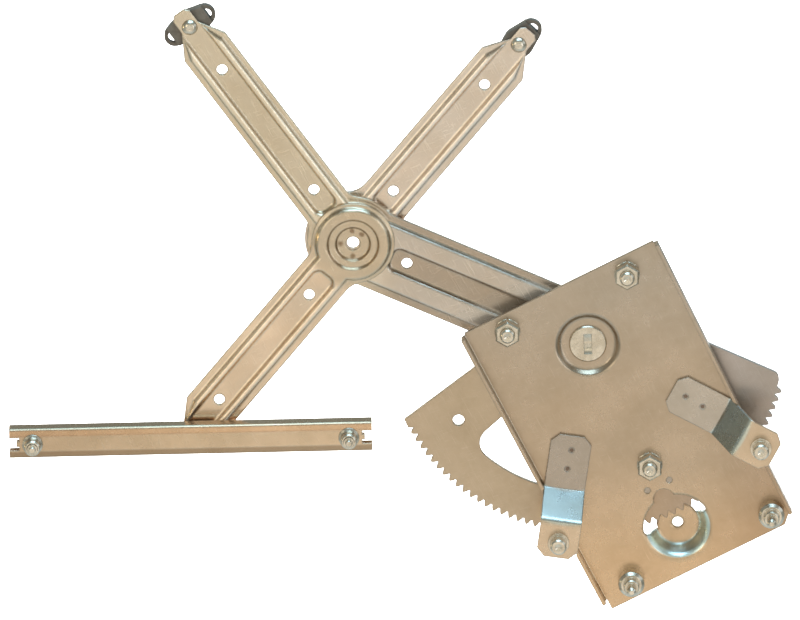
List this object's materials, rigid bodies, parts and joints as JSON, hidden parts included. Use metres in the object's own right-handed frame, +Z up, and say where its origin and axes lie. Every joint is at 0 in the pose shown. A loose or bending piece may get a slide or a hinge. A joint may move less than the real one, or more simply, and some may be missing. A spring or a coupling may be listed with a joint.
{
  "type": "window regulator",
  "caption": "Scissor window regulator without its motor: back plate, toothed sector, crossed ribbed arms, slide shoes and a guide rail, in pressed steel.",
  "frame": {"origin": "centre of the pinion's pilot hole, on the front face of the cup's floor", "axes": "-Y faces the cabin, square to the back plate; +Z up in the door, +X to the right when seen from the cabin; the arms swing in the XZ plane"},
  "size_m": [0.4383, 0.0606, 0.3482],
  "materials": {
    "zinc_steel": "satin",
    "bright_steel": "polished",
    "dark_plastic": "matte"
  },
  "bodies": {
    "base": {"back_plate": "zinc_steel", "pivot_rivet": "bright_steel", "pivot_washer": "zinc_steel", "plate_studs": "bright_steel", "plate_nuts": "bright_steel", "corner_studs": "bright_steel", "left_bracket": "zinc_steel", "right_bracket": "zinc_steel", "bracket_studs": "bright_steel"},
    "lift_arm_body": {"lift_arm": "zinc_steel", "toothed_sector": "zinc_steel", "sector_rivets": "bright_steel", "left_glass_pin": "bright_steel"},
    "equaliser_body": {"equaliser_front_half": "zinc_steel", "equaliser_rear_half": "zinc_steel", "right_glass_pin": "bright_steel", "rail_pin": "bright_steel"},
    "left_shoe_body": {"left_slide_shoe": "dark_plastic"},
    "right_shoe_body": {"right_slide_shoe": "dark_plastic"},
    "rail_shoe_body": {"rail_slide_shoe": "dark_plastic"},
    "rail_body": {"guide_rail": "zinc_steel", "rail_studs": "bright_steel", "rail_nuts": "bright_steel"}
  },
  "joints": [
    {"name": "lift_pivot", "type": "hinge", "parent": "base", "child": "lift_arm_body", "pos_m": [-0.05073, 0, 0.10684], "axis": [0, -1, 0], "range_deg": [-10, 80]},
    {"name": "equaliser_pivot", "type": "hinge", "parent": "lift_arm_body", "child": "equaliser_body", "pos_m": [-0.18194, 0, 0.16394], "axis": [0, -1, 0], "range_deg": [-160, 20]},
    {"name": "left_shoe_swivel", "type": "hinge", "parent": "lift_arm_body", "child": "left_shoe_body", "pos_m": [-0.27278, 0.0082, 0.28805], "axis": [0, -1, 0], "continuous": true},
    {"name": "right_shoe_swivel", "type": "hinge", "parent": "equaliser_body", "child": "right_shoe_body", "pos_m": [-0.08959, 0.0135, 0.27638], "axis": [0, -1, 0], "continuous": true},
    {"name": "rail_swivel", "type": "hinge", "parent": "equaliser_body", "child": "rail_shoe_body", "pos_m": [-0.27277, -0.0124, 0.05337], "axis": [0, -1, 0], "range_deg": [-10, 80]},
    {"name": "rail_slide", "type": "slide", "parent": "rail_shoe_body", "child": "rail_body", "axis": [0.9997, 0, 0.0227], "range_m": [-0.03, 0.03]}
  ],
  "couplings": [
    {"joint": "equaliser_pivot", "follows": "lift_pivot", "ratio": -2},
    {"joint": "rail_swivel", "follows": "lift_pivot", "ratio": 1}
  ]
}
